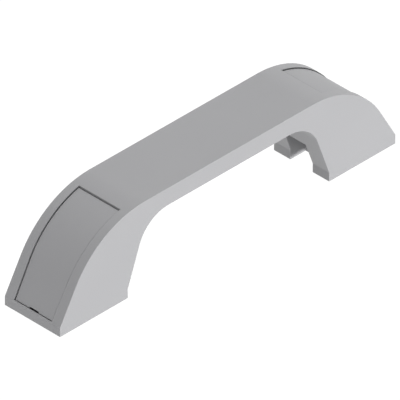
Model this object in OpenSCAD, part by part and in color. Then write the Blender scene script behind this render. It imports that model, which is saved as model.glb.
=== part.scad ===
// Strap handle for doors and covers: a moulded bow that stands on two feet.
// Each foot is screwed down from above through a well, and a snap-in cap closes the well.
// The origin is at the centre of the mounting face, X runs along the grip and Z points up.
// Lengths are in millimetres and angles in degrees.

/* [Bow] */
// Distance between the two screw axes
screw_pitch = 160; // [140:1:280]
// Distance from each screw axis to the outer end of its foot
screw_inset = 20; // [19:0.5:22]
// Width of the bow
bow_w = 33; // [31:0.5:45]
// Height of the top of the grip over the mounting face
bow_h = 44.6; // [42:0.1:60]
// Thickness of the grip
grip_t = 8.8; // [7:0.1:12]
// Length of each foot along the mounting face
foot_l = 40; // [38:0.5:46]
// Height of the upright edge at the toe and at the heel of each foot
edge_h = 4.6; // [3:0.1:6]
// Angle between the outer face and the mounting face
outer_lean = 60; // [56:1:64]
// Radius from the outer face into the top of the grip
shoulder_r = 47; // [40:1:54]
// Angle between the inner face and the mounting face
inner_lean = 70; // [66:1:76]
// Radius from the inner face into the underside of the grip
armpit_r = 18; // [10:0.5:22]

/* [Screw well] */
// Diameter of the screw hole through the foot
hole_d = 9; // [6.6:0.1:11]
// Thickness of the foot under the screw head
seat_t = 10; // [8:0.5:12]
// Length of the well around the screw head
well_l = 17; // [15:0.5:19]
// Radius in the upright corners of the well
well_r = 3; // [1:0.5:4]
// Height over the seat that the washer and the screw head need
head_room = 10.5; // [9:0.5:12]
// Wall between the well and the notch in the heel
web_t = 2.3; // [2:0.1:4]

/* [Heel notch] */
// Width of the notch in the heel of each foot
notch_w = 13.2; // [8:0.1:18]
// Height of the notch
notch_h = 16.2; // [8:0.1:20]
// Thickness between the notch and the shallow end of the well
notch_roof_t = 4.8; // [3:0.1:6]

/* [Cap opening] */
// Width of the rim beside the opening, at its lower end
rim_w = 5.3; // [4:0.1:6.3]
// Height of the lip between the toe's edge and the opening
lip_h = 0.5; // [0.4:0.1:3]
// Distance from the outer end of the foot to the upper wall of the opening
opening_l = 40; // [37:0.5:44]
// Draft of each side wall of the opening
draft = 1.5; // [0.5:0.1:3]
// Width of the ledge under each side of the cap
ledge_w = 1.7; // [1:0.1:2.2]
// Length of the ledge under the upper end of the cap
top_ledge_l = 3.5; // [2:0.1:5]
// Wall of the toe in front of the pocket under the pry notch
pry_wall = 1; // [0.8:0.1:1.6]
// Length of the pocket, from that wall inwards
pry_l = 2.5; // [1.5:0.1:4]
// Depth of the pocket below the lip
pry_drop = 2; // [1:0.1:2.5]

/* [Cover cap] */
// Thickness of the cap
cap_t = 2.2; // [1.6:0.1:3]
// Depth of the cap's face below the face of the foot
cap_recess = 0.5; // [0.1:0.1:1]
// Radius on the upper edge of the cap
cap_edge_r = 0.6; // [0.3:0.1:2]
// Gap between the cap and its ledge
seat_gap = 0.1; // [0.05:0.05:0.3]
// Gap along each side of the cap
side_gap = 0.4; // [0.1:0.05:0.6]
// Gap under the lower end of the cap
toe_gap = 0.3; // [0.1:0.05:0.6]
// Gap at the upper end of the cap
top_gap = 0.3; // [0.1:0.05:0.8]
// Width of the pry notch in the lower edge of the cap
pry_w = 5.4; // [3:0.1:10]
// Height of the pry notch
pry_h = 0.5; // [0.2:0.1:1.5]

/* [Snap arms] */
// Width of each snap arm along the cap
arm_w = 6; // [4:0.5:8]
// Thickness of each snap arm
arm_t = 1.6; // [1.2:0.1:2.2]
// Gap between an arm and the wall of the well
arm_gap = 0.2; // [0.1:0.05:0.4]
// Height of the barb at the tip of an arm
barb_h = 2; // [1.5:0.1:3]
// Height of the barb's flat land, above its lead-in slope
barb_land = 0.5; // [0.3:0.1:1]
// Reach of the barb past the face of its arm
barb_reach = 0.7; // [0.5:0.05:1]
// Gap around the barb in its groove
barb_gap = 0.2; // [0.1:0.05:0.4]

/* [Hidden] */
$fn = 96;
plastic_grey = [0.75, 0.75, 0.76];

// How far a cut runs past the face that it opens
past = 1;

// The bow, seen from the side: x from its middle and y up from the mounting face
bow_l = screw_pitch + 2 * screw_inset;
toe_x = -bow_l / 2;
heel_x = toe_x + foot_l;
under_z = bow_h - grip_t;

// The shoulder's arc touches the leaning outer face and the top of the grip
lean_rise = bow_h - edge_h - shoulder_r * (1 - cos(outer_lean));
shoulder_x = toe_x + lean_rise / tan(outer_lean) + shoulder_r * sin(outer_lean);
shoulder_c = [shoulder_x, bow_h - shoulder_r];

// The armpit's arc touches the leaning inner face and the underside of the grip
armpit_z = under_z - armpit_r;
armpit_x = heel_x + (armpit_z - edge_h) / tan(inner_lean) + armpit_r / sin(inner_lean);
armpit_c = [armpit_x, armpit_z];

// The opening for the cap, and the well below it
lip_z = edge_h + lip_h;
opening_x = toe_x + opening_l;
opening_w = bow_w - 2 * rim_w;
rebate_d = cap_recess + cap_t + seat_gap;
screw_x = toe_x + screw_inset;
well_w = opening_w - 2 * ledge_w;
well_end_x = screw_x + well_l / 2;
shallow_end_x = opening_x - top_ledge_l;
shallow_z = notch_h + notch_roof_t;
notch_x = well_end_x + web_t;

// The cap's snap arms stand clear of the screw head
arm_face_y = well_w / 2 - arm_gap;
arm_tip_z = seat_t + head_room;
cap_top_x = opening_x - top_gap;

// Points of an outline's left half, followed by their mirror images from right to left
function both_halves(left) = concat(left, [for (i = [len(left) - 1:-1:0]) [-left[i].x, left[i].y]]);

module both_ends() {
    children();
    mirror([1, 0, 0]) children();
}

module both_sides() {
    children();
    mirror([0, 1, 0]) children();
}

// Carries an outline in X and Z across the bow, over a given width
module across(width = bow_w) {
    rotate([90, 0, 0]) linear_extrude(height = width, center = true) children();
}

// Carries an outline in Y and Z along the bow, from one X to another
module along(from, to) {
    translate([from, 0, 0]) rotate([90, 0, 90]) linear_extrude(height = to - from) children();
}

// The waste outside an arc that rounds a leaning face on its left into a level face above it
module corner_waste(centre, radius, lean) {
    reach = 2 * radius;
    difference() {
        polygon([
            centre, centre + reach * [-sin(lean), cos(lean)],
            centre + reach * [-tan(lean / 2), 1], centre + [0, reach]
        ]);
        translate(centre) circle(r = radius);
    }
}

// Everything that lies deeper than a given depth under the outer face, down past the mounting face
module outer_region(depth) {
    radius = shoulder_r - depth;
    corner = shoulder_c + radius * [-tan(outer_lean / 2), 1];
    drop = bow_h + past;
    difference() {
        polygon(both_halves([corner - drop * [1 / tan(outer_lean), 1], corner]));
        both_ends() corner_waste(shoulder_c, radius, outer_lean);
    }
}

// Everything below a line square to the outer face, at a given distance up from the edge of the lip
module below_lip(rise) {
    translate([toe_x + lip_h / tan(outer_lean), lip_z]) rotate(outer_lean)
        translate([rise - bow_h, -bow_h]) square([bow_h, 2 * bow_h]);
}

// The space for the fingers, between the feet and under the grip
module finger_gap() {
    corner = armpit_c + armpit_r * [-tan(inner_lean / 2), 1];
    difference() {
        polygon(both_halves([[heel_x, -past], [heel_x, edge_h], corner]));
        both_ends() corner_waste(armpit_c, armpit_r, inner_lean);
    }
}

module bow_outline() {
    difference() {
        intersection() {
            outer_region(0);
            translate([toe_x, 0]) square([bow_l, bow_h]);
        }
        finger_gap();
    }
}

// Rectangle from one X to another, centred across the bow, with round corners
module round_slot(from, to, width, radius) {
    translate([from, radius - width / 2]) square([to - from, width - 2 * radius]);
    translate([from + radius, -width / 2]) square([to - from - 2 * radius, width]);
    for (x = [from + radius, to - radius])
        both_sides() translate([x, width / 2 - radius]) circle(r = radius);
}

// The cap's opening in plan: it widens upwards by its draft, less a gap on each side
module drafted_opening(gap) {
    base_z = lip_z - rebate_d;
    low = opening_w / 2 - gap - rebate_d * tan(draft);
    high = low + (bow_h - base_z) * tan(draft);
    along(toe_x - past, opening_x)
        polygon([[-low, base_z], [low, base_z], [high, bow_h], [-high, bow_h]]);
}

// The shallow step that the cap lies in, parallel to the outer face
module cap_rebate() {
    difference() {
        drafted_opening(0);
        across() outer_region(rebate_d);
        across() below_lip(0);
    }
}

// The well around the screw head, with a shallow end above the notch
module screw_well() {
    from = screw_x - well_l / 2;
    translate([0, 0, seat_t])
        linear_extrude(height = bow_h - seat_t) round_slot(from, well_end_x, well_w, well_r);
    translate([0, 0, shallow_z])
        linear_extrude(height = bow_h - shallow_z) round_slot(from, shallow_end_x, well_w, well_r);
}

module screw_hole() {
    translate([screw_x, 0, -past]) cylinder(d = hole_d, h = seat_t + 2 * past);
}

module heel_notch() {
    translate([notch_x, -notch_w / 2, -past])
        cube([heel_x - notch_x + foot_l, notch_w, notch_h + past]);
}

// The pocket that lets a screwdriver's tip get under the cap
module pry_pocket() {
    translate([toe_x + pry_wall, -pry_w / 2, lip_z - pry_drop])
        cube([pry_l, pry_w, pry_drop + toe_gap]);
}

// One groove in each side wall of the well, for the barbs of the cap
module barb_grooves() {
    half_l = arm_w / 2 + barb_gap;
    depth = barb_reach - arm_gap + barb_gap;
    both_sides() translate([screw_x - half_l, 0, arm_tip_z - barb_gap])
        cube([2 * half_l, well_w / 2 + depth, barb_h + 2 * barb_gap]);
}

// The cap from the side, with its upper edge rounded.
// The round lies a little high, so that it crosses both faces cleanly where it would only touch them.
module cap_outline() {
    inset = cap_edge_r * cos(5);
    face_r = shoulder_r - cap_recess - inset;
    edge_x = cap_top_x - inset;
    edge_z = shoulder_c.y + sqrt(face_r ^ 2 - (edge_x - shoulder_x) ^ 2);
    edge_c = [edge_x, edge_z];
    edge_out = (edge_c - shoulder_c) / face_r;
    difference() {
        outer_region(cap_recess);
        outer_region(cap_recess + cap_t);
        below_lip(toe_gap);
        translate([cap_top_x, 0]) square([bow_l, bow_h]);
        difference() {
            polygon([edge_c, edge_c + [bow_h, 0], edge_c + [bow_h, bow_h], edge_c + bow_h * edge_out]);
            translate(edge_c) circle(r = cap_edge_r);
        }
    }
}

// A springy arm along the wall of the well, with a barb that slopes out from its tip
module snap_arm() {
    inner_y = arm_face_y - arm_t;
    barb_y = arm_face_y + barb_reach;
    barb_top = arm_tip_z + barb_h;
    intersection() {
        along(screw_x - arm_w / 2, screw_x + arm_w / 2)
            polygon([
                [inner_y, arm_tip_z], [arm_face_y, arm_tip_z],
                [barb_y, barb_top - barb_land], [barb_y, barb_top], [arm_face_y, barb_top],
                [arm_face_y, bow_h], [inner_y, bow_h]
            ]);
        across() outer_region(cap_recess + cap_t / 2);
    }
}

module cover_cap() {
    difference() {
        intersection() {
            across() cap_outline();
            drafted_opening(side_gap);
        }
        across(pry_w) below_lip(toe_gap + pry_h);
    }
    both_sides() snap_arm();
}

module handle_body() {
    color(plastic_grey) difference() {
        across() bow_outline();
        both_ends() {
            cap_rebate();
            screw_well();
            screw_hole();
            heel_notch();
            barb_grooves();
            pry_pocket();
        }
    }
}

module left_cover_cap() {
    color(plastic_grey) cover_cap();
}

module right_cover_cap() {
    color(plastic_grey) mirror([1, 0, 0]) cover_cap();
}

handle_body();
left_cover_cap();
right_cover_cap();
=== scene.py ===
import math
import bpy
import bmesh
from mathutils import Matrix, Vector


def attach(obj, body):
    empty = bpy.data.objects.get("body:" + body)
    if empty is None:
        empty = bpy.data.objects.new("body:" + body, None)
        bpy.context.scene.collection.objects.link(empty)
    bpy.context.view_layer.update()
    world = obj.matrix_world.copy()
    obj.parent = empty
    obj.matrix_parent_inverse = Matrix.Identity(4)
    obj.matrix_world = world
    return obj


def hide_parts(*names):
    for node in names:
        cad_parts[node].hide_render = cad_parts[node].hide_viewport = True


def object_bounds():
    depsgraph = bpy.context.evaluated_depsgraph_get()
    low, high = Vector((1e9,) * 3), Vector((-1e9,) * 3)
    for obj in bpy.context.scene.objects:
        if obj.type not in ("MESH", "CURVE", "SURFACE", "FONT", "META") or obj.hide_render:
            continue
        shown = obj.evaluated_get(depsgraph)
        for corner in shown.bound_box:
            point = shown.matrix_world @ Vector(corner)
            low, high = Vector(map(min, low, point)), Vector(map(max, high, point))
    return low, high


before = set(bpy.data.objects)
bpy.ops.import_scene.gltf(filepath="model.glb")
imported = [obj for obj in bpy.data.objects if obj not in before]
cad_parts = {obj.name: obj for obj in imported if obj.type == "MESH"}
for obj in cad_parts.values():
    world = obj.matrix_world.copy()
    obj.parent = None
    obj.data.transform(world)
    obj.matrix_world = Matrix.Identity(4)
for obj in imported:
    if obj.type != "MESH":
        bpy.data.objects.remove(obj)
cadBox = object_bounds()
print("frame loaded:", sorted(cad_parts))

mm = 0.001
white = (1, 1, 1, 1)


def setInputs(node, values):
    for socket, value in values.items():
        node.inputs[socket].default_value = value


def addToScene(name, data):
    obj = bpy.data.objects.new(name, data)
    bpy.context.scene.collection.objects.link(obj)
    return obj


# what the plastics of the bow and the caps have in common
plastic = {
    "specular": 0.35,
    "driftScale": 18,
    "driftDetail": 3,
    "driftSpread": 0.2,  # from the middle of the noise to the lightest and the darkest tone
    "grainDetail": 2,
    "grainStrength": 0.5,
}


def mouldedPlastic(name, look):
    mat = bpy.data.materials.new(name)
    mat.use_nodes = True
    nodes, links = mat.node_tree.nodes, mat.node_tree.links
    shader = nodes["Principled BSDF"]
    setInputs(shader, {"Specular IOR Level": plastic["specular"]})
    coords = nodes.new("ShaderNodeTexCoord")

    drift = nodes.new("ShaderNodeTexNoise")  # slow drift of tone, as pigment mixes in the melt
    setInputs(drift, {"Scale": plastic["driftScale"], "Detail": plastic["driftDetail"]})
    tone = nodes.new("ShaderNodeValToRGB")
    for stop, side in zip(tone.color_ramp.elements, (-1, 1)):
        stop.position = 0.5 + plastic["driftSpread"] * side
        stop.color = (*(c * (1 + side * look["mottle"]) for c in look["grey"]), 1)
    links.new(coords.outputs["Object"], drift.inputs["Vector"])
    links.new(drift.outputs["Fac"], tone.inputs["Fac"])
    links.new(tone.outputs["Color"], shader.inputs["Base Color"])

    grain = nodes.new("ShaderNodeTexNoise")  # fine matt grain of the mould
    setInputs(grain, {"Scale": 1 / look["grainSize"], "Detail": plastic["grainDetail"]})
    matt = nodes.new("ShaderNodeMapRange")
    setInputs(matt, dict(zip(("To Min", "To Max"), look["roughness"])))
    bump = nodes.new("ShaderNodeBump")
    setInputs(bump, {"Strength": plastic["grainStrength"], "Distance": look["grainDepth"]})
    links.new(coords.outputs["Object"], grain.inputs["Vector"])
    links.new(grain.outputs["Fac"], matt.inputs["Value"])
    links.new(matt.outputs["Result"], shader.inputs["Roughness"])
    links.new(grain.outputs["Fac"], bump.inputs["Height"])
    links.new(bump.outputs["Normal"], shader.inputs["Normal"])
    return mat


# how a plain solid becomes a moulding with rounded edges
rounding = {
    "merge": 0.001 * mm,
    "flat": math.radians(0.3),  # faces that turn by less are joined
    "corner": math.radians(18),  # least turn that gets rounded
    "crease": math.radians(35),  # least turn that shades as an edge
    "onSide": 0.01 * mm,  # a point this near to a side face lies on it
    "segments": 3,
    "profile": 0.5,  # a round one
}


def isSharp(edge, turn):
    return len(edge.link_faces) == 2 and edge.calc_face_angle() > turn


def cornerEdges(bm):
    return {e for e in bm.edges if isSharp(e, rounding["corner"])}


def liesOnSide(edge):
    halfWidth = cadBox[1].y
    return all(abs(abs(v.co.y) - halfWidth) < rounding["onSide"] for v in edge.verts)


def outsideEdges(edges):
    found = {e for e in edges if liesOnSide(e)}
    front = set(found)
    while front:  # spreads along edges that meet, to the feet and their notches but not into the wells
        front = {n for e in front for v in e.verts for n in v.link_edges if n in edges and n not in found}
        found |= front
    return found


def roundEdges(bm, edges, radius):
    bmesh.ops.bevel(
        bm, geom=list(edges), offset=radius, offset_type="OFFSET",
        segments=rounding["segments"], profile=rounding["profile"],
        affect="EDGES", miter_outer="ARC", clamp_overlap=False,
    )


def roundedMesh(nodeName, pieceName, look):
    bm = bmesh.new()
    bm.from_mesh(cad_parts[nodeName].data)
    bmesh.ops.remove_doubles(bm, verts=bm.verts, dist=rounding["merge"])
    bmesh.ops.dissolve_limit(
        bm, angle_limit=rounding["flat"], use_dissolve_boundaries=False, verts=bm.verts, edges=bm.edges,
    )
    sharp = cornerEdges(bm)
    inside = {e for e in sharp - outsideEdges(sharp) if e.is_convex}
    roundEdges(bm, inside, look["insideRadius"])
    outside = outsideEdges(cornerEdges(bm))
    if outside:  # the bow alone reaches the side faces
        roundEdges(bm, outside, look["outsideRadius"])
    for face in bm.faces:
        face.smooth = True
        face.material_index = 0
    for edge in bm.edges:
        edge.smooth = not isSharp(edge, rounding["crease"])
    mesh = bpy.data.meshes.new(pieceName)
    bm.to_mesh(mesh)
    bm.free()
    return mesh


def moulding(nodeName, pieceName, look, mat):
    mesh = roundedMesh(nodeName, pieceName, look)
    mesh.materials.append(mat)
    piece = addToScene(pieceName, mesh)
    shade = piece.modifiers.new("flat faces stay flat", "WEIGHTED_NORMAL")
    shade.keep_sharp = True
    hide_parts(nodeName)
    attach(piece, "root")


# bow, with the feet moulded on
bow = {
    "node": "handle_body",
    "slot": "body_plastic",
    "outsideRadius": 0.15 * mm,
    "insideRadius": 0.06 * mm,
    "grey": (0.275, 0.275, 0.283),
    "roughness": (0.44, 0.56),
    "mottle": 0.02,  # share of the grey that drifts over the moulding
    "grainSize": 0.35 * mm,  # spark-eroded mould texture
    "grainDepth": 0.012 * mm,
}
moulding(bow["node"], "bow", bow, mouldedPlastic("bow plastic", bow))

# snap-in caps over the screws, from a second mould
cap = {
    "nodes": {"left_cover_cap": "leftCap", "right_cover_cap": "rightCap"},
    "slot": "cap_plastic",
    "insideRadius": 0.08 * mm,
    "grey": (0.272, 0.272, 0.280),
    "roughness": (0.46, 0.58),
    "mottle": 0.02,
    "grainSize": 0.3 * mm,
    "grainDepth": 0.012 * mm,
}
capPlastic = mouldedPlastic("cap plastic", cap)
for nodeName, pieceName in cap["nodes"].items():
    moulding(nodeName, pieceName, cap, capPlastic)
print("bow and caps dressed")

# pale floor, lit through as on a light table, so that it runs out to white with hardly a shadow
floor = {
    "size": 12.0,
    "drop": 0.02 * mm,  # keeps it clear of the soles
    "white": 0.05,
    "roughness": 0.9,
    "glow": 1.0,
}


def layFloor():
    half = floor["size"] / 2
    level = cadBox[0].z - floor["drop"]
    corners = [(-half, -half, level), (half, -half, level), (half, half, level), (-half, half, level)]
    mesh = bpy.data.meshes.new("floor")
    mesh.from_pydata(corners, [], [(0, 1, 2, 3)])
    mat = bpy.data.materials.new("floor white")
    mat.use_nodes = True
    setInputs(mat.node_tree.nodes["Principled BSDF"], {
        "Base Color": (floor["white"],) * 3 + (1,),
        "Roughness": floor["roughness"],
        "Specular IOR Level": 0,
        "Emission Color": white,
        "Emission Strength": floor["glow"],
    })
    mesh.materials.append(mat)
    obj = addToScene("floor", mesh)
    obj.visible_shadow = False  # the low lights shine through it


layFloor()

# lights far off, so that flat faces are even; each shines from its direction, with its softness in degrees
lights = {
    "key": {"from": (0.04, -1, -0.1), "power": 3.57, "softness": 8},  # low, so that the cap seams stay dark
    "backKey": {"from": (0.05, 1, -0.2), "power": 1.6, "softness": 16},
    "top": {"from": (0, 0, 1), "power": 2.54, "softness": 60},
    "left": {"from": (-1, -0.1, 0.4), "power": 0.94, "softness": 60},
    "right": {"from": (1, 0.4, 0.35), "power": 1.32, "softness": 60},
    "rear": {"from": (0.3, 0.9, 0.3), "power": 0.9, "softness": 60},
}


def hangLights():
    for name, light in lights.items():
        lamp = bpy.data.lights.new(name, "SUN")
        lamp.energy = light["power"]
        lamp.angle = math.radians(light["softness"])
        obj = addToScene(name, lamp)
        obj.rotation_euler = Vector(light["from"]).to_track_quat("Z", "Y").to_euler()


world = {"light": 0.03, "backdrop": 1.0}  # what it sheds on the handle, and how bright it looks behind it


def paintWorld():
    sky = bpy.data.worlds.new("studio")
    sky.use_nodes = True
    nodes, links = sky.node_tree.nodes, sky.node_tree.links
    back = nodes["Background"]
    setInputs(back, {"Color": white})
    path = nodes.new("ShaderNodeLightPath")
    strength = nodes.new("ShaderNodeMapRange")
    setInputs(strength, {"To Min": world["light"], "To Max": world["backdrop"]})
    links.new(path.outputs["Is Camera Ray"], strength.inputs["Value"])
    links.new(strength.outputs["Result"], back.inputs["Strength"])
    bpy.context.scene.world = sky


hangLights()
paintWorld()
print("floor and lights placed")

# very long lens, because the photo is a parallel view
camera = {
    "lens": 1650,
    "sensor": 36,
    "from": (-1, -1, 0.996),
    "field": 168.48 * mm,  # what the image's side spans at the target
    "target": (-0.77 * mm, 0, 12.58 * mm),
}


def setCamera():
    data = bpy.data.cameras.new("camera")
    data.lens = camera["lens"]
    data.sensor_width = camera["sensor"]
    distance = camera["field"] * camera["lens"] / camera["sensor"]
    data.clip_end = 2 * distance
    obj = addToScene("camera", data)
    back = Vector(camera["from"]).normalized()
    obj.location = Vector(camera["target"]) + back * distance
    obj.rotation_euler = back.to_track_quat("Z", "Y").to_euler()
    bpy.context.scene.camera = obj
    bpy.context.scene.view_settings.view_transform = "Standard"


setCamera()
print("camera set")
